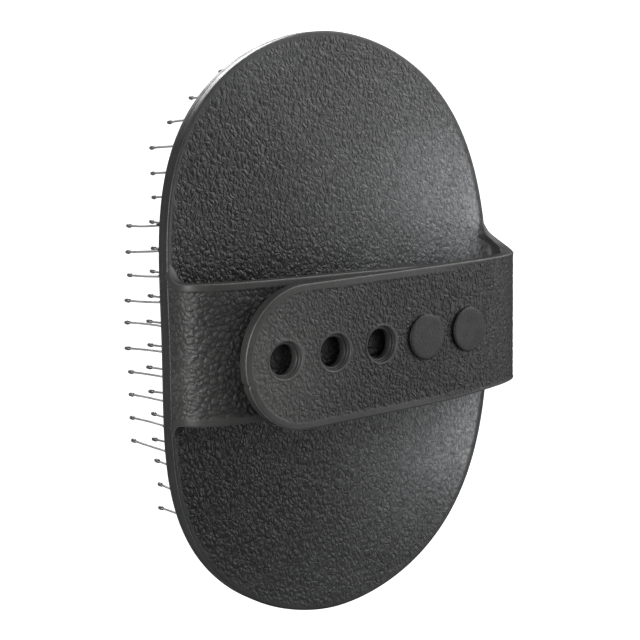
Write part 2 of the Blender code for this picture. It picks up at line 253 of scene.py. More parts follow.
CAMERA_PLACE = (-0.26808, 0.06403, 0.37877)
CAMERA_TURN = (0.634, 0.138, -0.014)  # azimuth, elevation and roll in radians
CAMERA_LENS = 89.83
SENSOR_WIDTH = 36.0

FLOOR_HALF = 2.5
FLOOR_Z = -0.0030
BACKDROP_RADIUS = 4.0
WORLD_STRENGTH = 0.17
LIGHT_AIM = (0.0, 0.0, 0.025)
# Name, place, diameter and watts of each lamp.
LAMPS = (
    ("key", (0.365, 0.354, 0.236), 0.60, 3.9),
    ("side", (0.42, -0.04, 0.34), 0.45, 1.2),
    ("fill", (-0.515, 0.070, 0.212), 0.26, 3.3),
    ("rim", (0.05, 0.33, -0.30), 0.25, 2.0),
)


# ---------------------------------------------------------------- shape formulas


def smooth_step(low, high, value):
    t = np.clip((value - low) / (high - low), 0.0, 1.0)
    return t * t * (3 - 2 * t)


def oval_points(inset=0.0, count=2880):
    """Closed loop of points on the plate's outline, a superellipse, moved inwards by the inset."""
    half_x, half_y = PLATE_WIDTH / 2 - inset, PLATE_LENGTH / 2 - inset
    angle = np.linspace(0, 2 * math.pi, count, endpoint=False)
    c, s = np.abs(np.cos(angle)), np.abs(np.sin(angle))
    low, high = np.full(count, 0.5), np.full(count, 2.0)
    for _ in range(40):
        middle = (low + high) / 2
        inside = (middle * c) ** PLATE_END_POWER + (middle * s) ** PLATE_SIDE_POWER < 1
        low, high = np.where(inside, middle, low), np.where(inside, high, middle)
    return np.stack([half_x * low * np.cos(angle), half_y * low * np.sin(angle)], axis=1)


def outline_x(y):
    """Half-width of the plate at a given Y."""
    share = np.clip(1 - (np.abs(y) / (PLATE_LENGTH / 2)) ** PLATE_SIDE_POWER, 0, 1)
    return PLATE_WIDTH / 2 * share ** (1 / PLATE_END_POWER)


def lift(x, y):
    """Height that the strap's pull and the plate's bow add to a point of the plate."""
    pull = np.exp(-(((y - STRAP_Y) / RIM_LIFT_REACH) ** 2))
    return RIM_LIFT * (np.abs(x) / (PLATE_WIDTH / 2)) ** RIM_LIFT_POWER * pull - BOW * y * y


def surface_normal(x, y):
    """Upward unit normal of the lifted plate at one point."""
    step = 1e-4
    slope_x = (lift(x + step, y) - lift(x - step, y)) / (2 * step)
    slope_y = (lift(x, y + step) - lift(x, y - step)) / (2 * step)
    return Vector((-slope_x, -slope_y, 1.0)).normalized()


def arch_line(root_span, far_span, height, tip_x):
    """(x, z) points, evenly spaced, along a strap's middle: up its riser at +X and over to tip_x."""
    angle = np.linspace(0, math.pi, 1801)
    c, s = np.cos(angle), np.sin(angle)
    reach = (np.abs(c) ** ARCH_POWER + np.abs(s) ** ARCH_POWER) ** (-1 / ARCH_POWER)
    x = np.where(c > 0, root_span, far_span) * reach * c
    z = PLATE_TOP + height * reach * s
    keep = x > tip_x
    line = np.stack([x[keep], z[keep]], axis=1)
    foot = [(root_span, ROOT_BOTTOM)]
    return even_line(np.concatenate([foot, line]), LINE_SPACING)


def even_line(points, step):
    lengths = np.concatenate([[0], np.cumsum(np.linalg.norm(np.diff(points, axis=0), axis=1))])
    count = max(3, int(round(lengths[-1] / step)) + 1)
    at = np.linspace(0, lengths[-1], count)
    return np.stack([np.interp(at, lengths, points[:, k]) for k in range(2)], axis=1)


def even_loop(points, step):
    closed = np.concatenate([points, points[:1]])
    return even_line(closed, step)[:-1]


def eased(loop, passes):
    """The loop with its sharp corners rounded off."""
    for _ in range(passes):
        loop = (np.roll(loop, 1, axis=0) + 2 * loop + np.roll(loop, -1, axis=0)) / 4
    return loop


def loop_normals(loop):
    """Unit normals that point out of a counterclockwise loop."""
    along = np.roll(loop, -1, axis=0) - np.roll(loop, 1, axis=0)
    along /= np.linalg.norm(along, axis=1)[:, None]
    return np.stack([along[:, 1], -along[:, 0]], axis=1)


def circle(centre, radius, step):
    count = int(round(2 * math.pi * radius / step))
    angle = np.linspace(0, -2 * math.pi, count, endpoint=False)
    return np.stack([centre[0] + radius * np.cos(angle), centre[1] + radius * np.sin(angle)], axis=1)


# ---------------------------------------------------------------- mesh making


def inside_loop(points, loop):
    """For each point, whether it lies in the closed loop."""
    result = np.zeros(len(points), bool)
    for (ax, ay), (bx, by) in zip(loop, np.roll(loop, -1, axis=0)):
        if ay == by:
            continue
        crosses = (ay > points[:, 1]) != (by > points[:, 1])
        at = ax + (points[:, 1] - ay) * (bx - ax) / (by - ay)
        result ^= crosses & (points[:, 0] < at)
    return result


def distance_to(loops, points):
    """Distance from each point to the nearest loop point."""
    spots = np.concatenate(loops)
    tree = kdtree.KDTree(len(spots))
    for index, (x, y) in enumerate(spots):
        tree.insert((x, y, 0.0), index)
    tree.balance()
    return np.array([tree.find((x, y, 0.0))[2] for x, y in points])


def fill(loops, spacing):
    """Points and triangles that fill the first loop less the others. The loops' points come first."""
    outer = loops[0]
    low, high = outer.min(axis=0), outer.max(axis=0)
    row_step = spacing * math.sqrt(3) / 2
    rows = np.arange(low[1], high[1], row_step)
    lattice = []
    for number, y in enumerate(rows):
        xs = np.arange(low[0] + (number % 2) * spacing / 2, high[0], spacing)
        lattice.append(np.stack([xs, np.full(len(xs), y)], axis=1))
    lattice = np.concatenate(lattice)
    keep = inside_loop(lattice, outer)
    for hole in loops[1:]:
        keep &= ~inside_loop(lattice, hole)
    lattice = lattice[keep]
    lattice = lattice[distance_to(loops, lattice) > 0.55 * spacing]
    points = np.concatenate([*loops, lattice])
    edges = []
    start = 0
    for loop in loops:
        edges += [(start + i, start + (i + 1) % len(loop)) for i in range(len(loop))]
        start += len(loop)
    border = list(range(len(outer)))
    made = geometry.delaunay_2d_cdt([Vector(p) for p in points], edges, [border], 1, 1e-9)
    origin = np.array([ids[0] if ids else -1 for ids in made[3]])
    triangles = origin[np.array([f for f in made[2] if len(f) == 3])]
    centres = points[triangles].mean(axis=1)
    solid = np.ones(len(triangles), bool)
    for hole in loops[1:]:
        solid &= ~inside_loop(centres, hole)
    return points, triangles[solid]


def rounded_rim(depth, radius_front, radius_back):
    """(outward, depth) steps of a wall with rounded edges, from the front face's rim to the back face's."""
    steps = []
    for number in range(1, EDGE_STEPS + 1):
        angle = math.pi / 2 * number / EDGE_STEPS
        steps.append((radius_front * math.sin(angle), -radius_front * (1 - math.cos(angle))))
    for number in range(EDGE_STEPS + 1):
        angle = math.pi / 2 * number / EDGE_STEPS
        out = radius_front - radius_back * (1 - math.cos(angle))
        steps.append((out, radius_back - depth - radius_back * math.sin(angle)))
    return steps


def slab(loops, walls, spacing, back_spacing):
    """A closed slab: front fill, a profiled wall along each loop, and back fill.

    Returns flat points, their depths, their distance to an edge (0 off the front face), a mark that is 1 on
    the painted highlight along the rounded edges, and faces."""
    points, triangles = fill(loops, spacing)
    depths = np.zeros(len(points))
    reach = distance_to(loops, points)
    all_points, all_depths, all_reach, all_highlight_marks = [points], [depths], [reach], [depths]
    faces = [tuple(t) for t in triangles]
    total = len(points)
    start = 0
    back_loops, back_ids = [], []
    for loop, wall in zip(loops, walls):
        count = len(loop)
        normals = loop_normals(loop)
        previous = np.arange(start, start + count)
        start += count
        for number, (out, depth) in enumerate(wall):
            ring = loop + normals * out
            current = np.arange(total, total + count)
            total += count
            all_points.append(ring)
            all_depths.append(np.full(count, depth))
            all_reach.append(np.zeros(count))
            all_highlight_marks.append(np.full(count, float(number == HIGHLIGHT_RING)))
            ahead_p, ahead_c = np.roll(previous, -1), np.roll(current, -1)
            faces += list(zip(previous, current, ahead_c, ahead_p))
            previous = current
        back_loops.append(ring)
        back_ids.append(current)
    points, triangles = fill(back_loops, back_spacing)
    rim = np.concatenate(back_ids)
    fresh = np.arange(total, total + len(points) - len(rim))
    ids = np.concatenate([rim, fresh])
    faces += [tuple(t[::-1]) for t in ids[triangles]]
    all_points.append(points[len(rim):])
    all_depths.append(np.full(len(fresh), walls[0][-1][1]))
    all_reach.append(np.zeros(len(fresh)))
    all_highlight_marks.append(np.zeros(len(fresh)))
    return *(np.concatenate(part) for part in (all_points, all_depths, all_reach, all_highlight_marks)), faces


def mesh_object(name, vertices, faces, material, grain=None, field=None, line=None, sharp=40):
    """A smooth-shaded object.

    grain is 1 on top of the grain and 0 in its creases. field is 1 where the surface is grained. line is 1 on
    a painted highlight along a rounded edge."""
    mesh = bpy.data.meshes.new(name)
    mesh.from_pydata([tuple(map(float, v)) for v in vertices], [], [tuple(map(int, f)) for f in faces])
    grain = np.ones(len(vertices)) if grain is None else grain
    field = np.zeros(len(vertices)) if field is None else field
    line = np.zeros(len(vertices)) if line is None else line
    for label, values in (("grain", grain), ("field", field), ("line", line)):
        attribute = mesh.attributes.new(label, "FLOAT", "POINT")
        attribute.data.foreach_set("value", np.asarray(values, np.float32))
    shape = bmesh.new()
    shape.from_mesh(mesh)
    bmesh.ops.recalc_face_normals(shape, faces=shape.faces)
    shape.to_mesh(mesh)
    shape.free()
    mesh.shade_smooth()
    mesh.set_sharp_from_angle(angle=math.radians(sharp))
    obj = bpy.data.objects.new(name, mesh)
    bpy.context.scene.collection.objects.link(obj)
    mesh.materials.append(material)
    return obj


# ---------------------------------------------------------------- grain


def pebbles(x, y, size, stretch=1.0, join=0.55, crease_width=0.42, bend=0.42, seed=0.0):
    """Leather-like grain at flat points: 1 on a pebble's top, 0 in the creases between pebbles."""
    heights = np.empty(len(x))
    for index in range(len(x)):
        spot = Vector((x[index] / size, y[index] / size / stretch, seed))
        near = noise.voronoi(spot + noise.noise_vector(spot * WARP_SCALE) * bend)[0]
        crease = near[1] - near[0]
        soft = min(max(crease / crease_width, 0.0), 1.0)
        soft = math.sin(soft * math.pi / 2)
        joined = noise.noise(spot * JOIN_SCALE + JOIN_SHIFT) * JOIN_CONTRAST + 0.5
        joined = min(max(joined, 0.0), 1.0)
        heights[index] = 1 - (1 - soft) * (1 - join * joined)
    return heights


# ---------------------------------------------------------------- materials


def new_material(name):
    material = bpy.data.materials.new(name)
    material.use_nodes = True
    return material, material.node_tree, material.node_tree.nodes["Principled BSDF"]


def noise_node(tree, scale, detail=3.0, roughness=0.5):
    coordinates = tree.nodes.new("ShaderNodeTexCoord")
    texture = tree.nodes.new("ShaderNodeTexNoise")
    texture.inputs["Scale"].default_value = scale
    texture.inputs["Detail"].default_value = detail
    texture.inputs["Roughness"].default_value = roughness
    tree.links.new(coordinates.outputs["Object"], texture.inputs["Vector"])
    return texture.outputs["Fac"]


def remap(tree, value, from_low, from_high, to_low, to_high):
    node = tree.nodes.new("ShaderNodeMapRange")
    node.inputs["From Min"].default_value = from_low
    node.inputs["From Max"].default_value = from_high
    node.inputs["To Min"].default_value = to_low
    node.inputs["To Max"].default_value = to_high
    tree.links.new(value, node.inputs["Value"])
    return node.outputs["Result"]


def multiply(tree, first, second):
    node = tree.nodes.new("ShaderNodeMath")
    node.operation = "MULTIPLY"
    tree.links.new(first, node.inputs[0])
    tree.links.new(second, node.inputs[1])
    return node.outputs["Value"]


def tinted(tree, colour, factor):
    """The colour, scaled by a factor socket."""
    node = tree.nodes.new("ShaderNodeVectorMath")
    node.operation = "SCALE"
    node.inputs[0].default_value = colour
    tree.links.new(factor, node.inputs["Scale"])
    return node.outputs["Vector"]


def mesh_value(tree, label):
    attribute = tree.nodes.new("ShaderNodeAttribute")
    attribute.attribute_name = label
    return attribute.outputs["Fac"]


def fine_cells(tree, size):
    """Small rounded cells, 1 on top and 0 in the creases, on the grained parts only."""
    coordinates = tree.nodes.new("ShaderNodeTexCoord")
    wobble = tree.nodes.new("ShaderNodeTexNoise")
    wobble.inputs["Scale"].default_value = 0.6 / size
    wobble.inputs["Detail"].default_value = 1.0
    shift = tree.nodes.new("ShaderNodeVectorMath")
    shift.operation = "MULTIPLY_ADD"
    shift.inputs[1].default_value = (size * 1.4,) * 3
    cells = tree.nodes.new("ShaderNodeTexVoronoi")
    cells.feature = "DISTANCE_TO_EDGE"
    cells.inputs["Scale"].default_value = 1 / size
    flat = tree.nodes.new("ShaderNodeVectorMath")
    flat.operation = "MULTIPLY"
    flat.inputs[1].default_value = CELL_SHAPE
    tree.links.new(coordinates.outputs["Object"], wobble.inputs["Vector"])
    tree.links.new(wobble.outputs["Color"], shift.inputs[0])
    tree.links.new(coordinates.outputs["Object"], shift.inputs[2])
    tree.links.new(shift.outputs["Vector"], flat.inputs[0])
    tree.links.new(flat.outputs["Vector"], cells.inputs["Vector"])
    round_top = remap(tree, cells.outputs["Distance"], 0.0, 0.28, 0.0, 1.0)
    return multiply(tree, round_top, mesh_value(tree, "field"))


def painted_sheen(tree, reach, tone):
    """Factor on the grained parts: a plain tone times a painted sheen, which grows along X by e in each
    reach and fades near the plate's ends."""
    coordinates = tree.nodes.new("ShaderNodeTexCoord")
    parts = tree.nodes.new("ShaderNodeSeparateXYZ")
    tree.links.new(coordinates.outputs["Object"], parts.inputs["Vector"])
    distance = tree.nodes.new("ShaderNodeMath")
    distance.operation = "ABSOLUTE"
    tree.links.new(parts.outputs["Y"], distance.inputs[0])
    share = remap(tree, distance.outputs["Value"], PAINTED_SHEEN_FADE[0], PAINTED_SHEEN_FADE[1], 1 / reach, 0.0)
    growth = tree.nodes.new("ShaderNodeMath")
    growth.operation = "EXPONENT"
    power = tree.nodes.new("ShaderNodeMath")
    power.inputs[1].default_value = math.log(tone)
    tree.links.new(multiply(tree, share, parts.outputs["X"]), power.inputs[0])
    tree.links.new(multiply(tree, power.outputs["Value"], mesh_value(tree, "field")), growth.inputs[0])
    return growth.outputs["Value"]


def rubber_material(
    name, colour, roughness, sheen_reach, field_tone, cell=0.0011, cell_depth=0.00004, crease=0.55
):
    """Matt black rubber: cloudy tone, painted crease shade, painted edge highlight and sheen, uneven gloss
    and a fine moulded texture.
    """
    material, tree, shader = new_material(name)
    cloud = remap(tree, noise_node(tree, CLOUD_SCALE), 0.3, 0.7, 0.70, 1.30)
    speck = remap(tree, noise_node(tree, SPECK_SCALE, 4.0, 0.6), 0.35, 0.75, 0.88, 1.16)
    # Painted shade: the base colour darkens in the creases of the grain, down to the crease share.
    creases = remap(tree, mesh_value(tree, "grain"), 0.0, 1.0, crease, 1.0)
    tone = multiply(tree, multiply(tree, cloud, speck), creases)
    # Painted highlight: the "line" mark on the rounded edges lightens the base colour.
    tone = multiply(tree, tone, remap(tree, mesh_value(tree, "line"), 0.2, 1.0, 1.0, PAINTED_HIGHLIGHT_LIGHTNESS))
    # Painted sheen: the grained parts get lighter along X, standing in for how the light falls.
    tone = multiply(tree, tone, painted_sheen(tree, sheen_reach, field_tone))
    tree.links.new(tinted(tree, colour, tone), shader.inputs["Base Color"])
    gloss = remap(tree, noise_node(tree, GLOSS_SCALE, 4.0), 0.3, 0.7, roughness - 0.06, roughness + 0.07)
    tree.links.new(gloss, shader.inputs["Roughness"])
    shader.inputs["Specular IOR Level"].default_value = 0.36
    dust = tree.nodes.new("ShaderNodeBump")
    dust.inputs["Strength"].default_value = 0.25
    dust.inputs["Distance"].default_value = DUST_DEPTH
    tree.links.new(noise_node(tree, DUST_SCALE, 3.0, 0.6), dust.inputs["Height"])
    bump = tree.nodes.new("ShaderNodeBump")
    bump.inputs["Strength"].default_value = 1.0
    bump.inputs["Distance"].default_value = cell_depth
    tree.links.new(fine_cells(tree, cell), bump.inputs["Height"])
    tree.links.new(dust.outputs["Normal"], bump.inputs["Normal"])
    tree.links.new(bump.outputs["Normal"], shader.inputs["Normal"])
    return material


def steel_material():
    material, tree, shader = new_material("pin_wire")
    tone = remap(tree, noise_node(tree, 400.0), 0.3, 0.7, 0.75, 1.15)
    tree.links.new(tinted(tree, WIRE_COLOUR, tone), shader.inputs["Base Color"])
    shader.inputs["Metallic"].default_value = 0.35
    gloss = remap(tree, noise_node(tree, 1500.0), 0.3, 0.7, 0.40, 0.55)
    tree.links.new(gloss, shader.inputs["Roughness"])
    return material


def tip_material():
    material, tree, shader = new_material("pin_tip")
    tone = remap(tree, noise_node(tree, 900.0), 0.3, 0.7, 0.8, 1.2)
    tree.links.new(tinted(tree, TIP_COLOUR, tone), shader.inputs["Base Color"])
    gloss = remap(tree, noise_node(tree, 1500.0), 0.3, 0.7, 0.22, 0.34)
    tree.links.new(gloss, shader.inputs["Roughness"])
    return material


# ---------------------------------------------------------------- plate and pad


def oval_slab(top, bottom, rounding_top, rounding_bottom, spacing, back_spacing):
    loop = even_loop(oval_points(rounding_top), PLATE_EDGE_SPACING)
    walls = [rounded_rim(top - bottom, rounding_top, rounding_bottom)]
    points, depths, reach, highlight_marks, faces = slab([loop], walls, spacing, back_spacing)
    return points, top + depths, reach, highlight_marks, faces


def make_plate(material):
    """The oval plate with its pebbled face and smooth margin."""
    points, z, reach, highlight_marks, faces = oval_slab(
        PLATE_TOP, PARTING, RIM_ROUNDING, PARTING_ROUNDING, PLATE_SPACING, COARSE_SPACING
    )
    x, y = points[:, 0], points[:, 1]
    field = smooth_step(*PLATE_BORDER, reach)
    grain = np.ones(len(x))
    inside = field > 0
    grain[inside] = pebbles(x[inside], y[inside], **PLATE_GRAIN)
    grain = 1 - (1 - grain) * field
    z = z - PLATE_GRAIN_DEPTH * (1 - grain) + lift(x, y)
    return mesh_object("plate_shell", np.stack([x, y, z], axis=1), faces, material, grain, field, highlight_marks)


def make_pad(material):
    """The thin layer that holds the pins."""
    points, z, _, _, faces = oval_slab(
        PARTING, PAD_BOTTOM, PARTING_ROUNDING, RIM_ROUNDING, COARSE_SPACING, BACK_SPACING
    )
    x, y = points[:, 0], points[:, 1]
    vertices = np.stack([x, y, z + lift(x, y)], axis=1)
    return mesh_object("pad_layer", vertices, faces, material)


# ---------------------------------------------------------------- pins


def pin_layout():
    rows = []
    for row in range(PIN_ROWS):
        y = (row - (PIN_ROWS - 1) / 2) * PIN_PITCH_Y
        columns = [(column - (PIN_COLUMNS - 1) / 2) * PIN_PITCH_X for column in range(PIN_COLUMNS)]
        reach_y = (abs(y) / PIN_FIELD_HALF_Y) ** PIN_FIELD_POWER
        inside = [x for x in columns if (abs(x) / PIN_FIELD_HALF_X) ** PIN_FIELD_POWER + reach_y <= 1]
        rows.append((y + PIN_FIELD_Y, inside))
    return rows


def tube(spots, radii, sides):
    """Closed tube of vertices and faces through the spots, each ring square to Z."""
    vertices, faces = [], []
    for spot, radius in zip(spots, radii):
        for side in range(sides):
            angle = 2 * math.pi * side / sides
            vertices.append(spot + Vector((radius * math.cos(angle), radius * math.sin(angle), 0.0)))
    for ring in range(len(spots) - 1):
        for side in range(sides):
            ahead = (side + 1) % sides
            low, high = ring * sides, (ring + 1) * sides
            faces.append((low + side, low + ahead, high + ahead, high + side))
    faces.append(tuple(range(sides)))
    faces.append(tuple((len(spots) - 1) * sides + side for side in range(sides)))
    return vertices, faces


def pin_line(x, y, chance):
    """Where one wire leaves the pad and where its tip ends."""
    normal = surface_normal(x, y)
    root = Vector((x, y, PAD_BOTTOM + lift(x, y)))
    stray = Vector((chance.uniform(-1, 1), chance.uniform(-1, 1), 0.0)) * PIN_STRAY
    beside_strap = math.exp(-(((y - SPLAY_Y) / SPLAY_REACH) ** 2))
    splay = (SIDE_SPLAY - EDGE_SPLAY_LESS * smooth_step(*EDGE_COLUMN, abs(x))) * beside_strap
    splay += END_SPLAY * smooth_step(*END_SPLAY_RISE, y) * (1 - smooth_step(*END_SPLAY_FALL, y))
    outward = math.copysign(smooth_step(0.0, SPLAY_FULL_X, abs(x)), x)
    return root, root - normal * PAD_BOTTOM + stray + Vector((outward * splay, 0.0, 0.0))


def one_pin(x, y, chance):
    """A slightly bent wire with an elongated bead at its end."""
    root, tip = pin_line(x, y, chance)
    along = tip - root
    bow = Vector((chance.uniform(-1, 1), chance.uniform(-1, 1), 0.0)) * PIN_BEND
    spots, radii = [], []
    inner = ROOT_SINK / along.length
    bead = TIP_LENGTH / along.length
    for step in range(WIRE_SPOTS):
        t = -inner + (1 - bead + inner) * step / (WIRE_SPOTS - 1)
        spots.append(root + along * t + bow * (4 * t * (1 - t)))
        radii.append(PIN_RADIUS)
    for step in range(BEAD_SPOTS):
        angle = math.pi * (BEAD_START + (1 - BEAD_START) * step / (BEAD_SPOTS - 1))
        t = 1 - bead / 2 - bead / 2 * math.cos(angle)
        spots.append(root + along * t + bow * (4 * t * (1 - t)))
        radii.append(max(TIP_RADIUS * math.sin(angle), 0.00002))
    return tube(spots, radii, PIN_SIDES)


def make_pin_rows(wire, tip):
    chance = random.Random(PIN_SEED)
    rows = []
    for number, (y, columns) in enumerate(pin_layout(), start=1):
        vertices, faces = [], []
        for x in columns:
            pin_vertices, pin_faces = one_pin(x, y, chance)
            faces += [tuple(len(vertices) + i for i in face) for face in pin_faces]
            vertices += pin_vertices
        row = mesh_object(f"wire_row_{number:02d}", vertices, faces, wire, sharp=75)
        row.data.materials.append(tip)
        per_pin = len(pin_faces)
        for polygon in row.data.polygons:
            ring = (polygon.index % per_pin) // PIN_SIDES
            is_bead = ring >= WIRE_SPOTS and polygon.index % per_pin != per_pin - 2
            polygon.material_index = int(is_bead)
        rows.append(row)
    return rows


def make_sockets(material):
    """Soft rubber cones that the wires grow from."""
    chance = random.Random(SOCKET_SEED)
    profile = [(0.00150, 0.0002), (0.00118, -0.00012), (0.00098, -0.00055), (0.00082, -0.0014)]
    profile += [(0.00062, -0.0024), (0.00048, -0.0032)]
    profile += [(0.00040, -SOCKET_LENGTH), (0.00012, -SOCKET_LENGTH)]
    vertices, faces = [], []
    for y, columns in pin_layout():
        for x in columns:
            normal = surface_normal(x, y)
            root = Vector((x, y, PAD_BOTTOM + lift(x, y)))
            length = chance.uniform(0.85, 1.12)
            spots = [root + normal * (drop * length) for _, drop in profile]
            cone_vertices, cone_faces = tube(spots, [radius for radius, _ in profile], SOCKET_SIDES)
            faces += [tuple(len(vertices) + i for i in face) for face in cone_faces]
            vertices += cone_vertices
    return mesh_object("pin_sockets", vertices, faces, material)


# ---------------------------------------------------------------- straps


def flare_spread(height, flare):
    """How far a riser's side stands out at a height over the plate."""
    width, reach = flare
    rise = np.clip(height / reach, 0.0, 1.0)
    return width * (1 - (1 - (1 - rise) ** FLARE_POWER) ** (1 / FLARE_POWER))


def strap_shape(line, width, flares, tip, side, skew=0.0, waist=0.0, nick=None, fade=None):
    """What sets the form of one strap.

    side is 1 for a root at +X and -1 for a root at -X. The line always runs as if the root were at +X. tip is
    the x of the tip and the length of its round end. nick is the place across the strap of a nick in its end.
    fade is the stretch of x, growing towards the root, over which the smooth border dies away."""
    steps = np.linalg.norm(np.diff(line, axis=0), axis=1)
    lengths = np.concatenate([[0], np.cumsum(steps)])
    return SimpleNamespace(
        line=line,
        lengths=lengths,
        width=width,
        flares=flares,
        tip=tip,
        side=side,
        skew=skew,
        waist=waist,
        nick=nick,
        fade=fade,
    )


def length_at(strap, x):
    return np.interp(-x, -strap.line[:, 0], strap.lengths)


def strap_outline(strap):
    """Closed loop in the strap's flat sheet: length along the strap, and across it."""
    half = strap.width / 2
    tip_x, round_length = strap.tip
    side = np.linspace(0.0, length_at(strap, tip_x + round_length), 600)
    heights = np.interp(side, strap.lengths, strap.line[:, 1]) - PLATE_TOP
    near_root = side < strap.lengths[len(strap.lengths) // 2]
    low_spread, high_spread = (
        np.where(near_root, flare_spread(heights, flare), 0.0) for flare in strap.flares
    )
    angle = np.linspace(0, math.pi, 400)
    tip = length_at(strap, tip_x + round_length * (1 - np.sin(angle)))
    left = np.stack([side, -half - low_spread], axis=1)
    end = np.stack([tip, -half * np.cos(angle)], axis=1)
    right = np.stack([side, half + high_spread], axis=1)[::-1]
    return np.concatenate([left, end[1:-1], right])


def strap_rim(strap):
    """The edge of the front face: the outline, eased and moved in by the rounding of the edge."""
    outline = eased(even_loop(strap_outline(strap), STRAP_EDGE_SPACING), CORNER_PASSES)
    outline = outline - loop_normals(outline) * EDGE_ROUNDING
    if strap.nick is not None:
        at_nick = np.abs(outline[:, 1] - strap.nick) < NICK_HALF_WIDTH
        at_nick &= outline[:, 0] > strap.lengths[-1] / 2
        outline[at_nick, 0] -= NICK_DEPTH
    return outline


def strap_field(strap, rim, points, reach):
    """1 on the grained field, 0 on the smooth border and off the front face."""
    free_edge = rim[rim[:, 0] > 2 * EDGE_ROUNDING]
    edge = np.where(reach > 0, distance_to([free_edge], points), 0.0)
    field = smooth_step(BORDER - BORDER_BLUR, BORDER + BORDER_BLUR, edge)
    if strap.fade is not None:
        x = np.interp(points[:, 0], strap.lengths, strap.line[:, 0])
        field = np.maximum(field, smooth_step(*strap.fade, x))
    return field * smooth_step(0.0, RIM_FADE, reach)


def back_shift(depths, height, past):
    """How far the back face near the root moves out: the fillet to the plate, less the thinning."""
    rise = np.clip(height, 0, ROOT_FILLET)
    fillet = ROOT_FILLET - np.sqrt(ROOT_FILLET**2 - (ROOT_FILLET - rise) ** 2)
    behind = np.clip(-depths / STRAP_THICKNESS, 0, 1)
    thinning = FLARE_THINNING * smooth_step(0, 1, past)
    thin_root = ROOT_THINNING * (1 - smooth_step(0, THIN_ROOT_HEIGHT, height))
    extra = fillet * (1 - thinning) - STRAP_THICKNESS * np.maximum(thinning, thin_root)
    return extra * behind


def bend_sheet(strap, points, depths, field):
    """Vertices of the strap, from places in its flat sheet and depths below its front face."""
    line, lengths = strap.line, strap.lengths
    s, w = points[:, 0], points[:, 1]
    along = np.gradient(line, axis=0)
    along /= np.linalg.norm(along, axis=1)[:, None]
    x = np.interp(s, lengths, line[:, 0])
    z = np.interp(s, lengths, line[:, 1])
    out = np.stack([np.interp(s, lengths, along[:, 1]), -np.interp(s, lengths, along[:, 0])], axis=1)
    offset = STRAP_THICKNESS / 2 + depths - BORDER_STEP * field
    height = z - PLATE_TOP
    near_root = s < lengths[-1] / 3
    (low_spread, _), (high_spread, _) = strap.flares
    past = np.clip((np.abs(w) - strap.width / 2) / np.where(w < 0, low_spread, high_spread), 0, 1)
    offset = offset - np.where(near_root, back_shift(depths, height, past), 0.0)
    px = x + out[:, 0] * offset
    pz = z + out[:, 1] * offset
    y = STRAP_Y + w + strap.skew * (strap.side * px - SKEW_PIVOT_X)
    y = y + smooth_step(*WAIST_SPAN, px) * strap.waist * (1 - w / (strap.width / 2))
    blend_in = 1 - smooth_step(ROOT_BOTTOM - PLATE_TOP, FLUSH_TOP, height)
    blend_in = np.where(near_root, np.maximum(blend_in, smooth_step(0, 0.6, past)), 0.0)
    proud = PROUD - FLARE_SINK * smooth_step(0.25, 1.0, past)
    flush = outline_x(y) + proud - (line[0, 0] + STRAP_THICKNESS / 2)
    px = px + flush * blend_in
    squeeze = 1 - smooth_step(0.0, LIFT_END_Z - PLATE_TOP, height)
    squeeze = np.where(near_root, squeeze, 0.0)
    pz = pz + lift(np.minimum(px, PLATE_WIDTH / 2), y) * squeeze
    return np.stack([strap.side * px, y, pz], axis=1)


def strap_skin(strap, holes, grain_of):
    """A strap as a bent slab with rounded edges, a smooth border and a grained field.

    holes lists (x, front radius, wall steps), with x as on the strap's line."""
    rim = strap_rim(strap)
    loops = [rim]
    walls = [rounded_rim(STRAP_THICKNESS, EDGE_ROUNDING, EDGE_ROUNDING)]
    for x, radius, wall in holes:
        loops.append(circle((length_at(strap, x), 0.0), radius, HOLE_EDGE_SPACING))
        walls.append(wall)
    points, depths, reach, highlight_marks, faces = slab(loops, walls, STRAP_SPACING, BACK_SPACING)
    field = strap_field(strap, rim, points, reach)
    grain = np.ones(len(points))
    inside = field > 0
    grain[inside] = grain_of(points[inside, 0], points[inside, 1])
    grain = 1 - (1 - grain) * field
    return bend_sheet(strap, points, depths, field), faces, grain, field, highlight_marks


def grained_object(name, skin, depth, material):
    """A strap's mesh with the creases of its grain pressed in along the normals."""
    vertices, faces, grain, field, highlight_marks = skin
    obj = mesh_object(name, vertices, faces, material, grain, field, highlight_marks)
    mesh = obj.data
    places = np.empty(len(mesh.vertices) * 3)
    normals = np.empty(len(mesh.vertices) * 3)
    mesh.vertices.foreach_get("co", places)
    mesh.vertex_normals.foreach_get("vector", normals)
    places -= normals * np.repeat(depth * (1 - grain), 3)
    mesh.vertices.foreach_set("co", places)
    mesh.update()
    return obj


def button_hole():
    """Wall steps of a stepped hole: rounded mouth, wall, ledge, and a narrower way through."""
    mouth, corner = HOLE_MOUTH, LEDGE_ROUNDING
    ledge = HOLE_RADIUS - HOLE_LIP_RADIUS
    steps = [(mouth * math.sin(a), -mouth * (1 - math.cos(a))) for a in (0.4, 0.8, 1.2, math.pi / 2)]
    steps += [(mouth, -HOLE_LIP_DEPTH + corner), (mouth + corner, -HOLE_LIP_DEPTH)]
    steps += [(mouth + ledge - corner, -HOLE_LIP_DEPTH), (mouth + ledge, -HOLE_LIP_DEPTH - corner)]
    steps += [(mouth + ledge, -STRAP_THICKNESS + corner), (mouth + ledge - corner, -STRAP_THICKNESS)]
    return steps


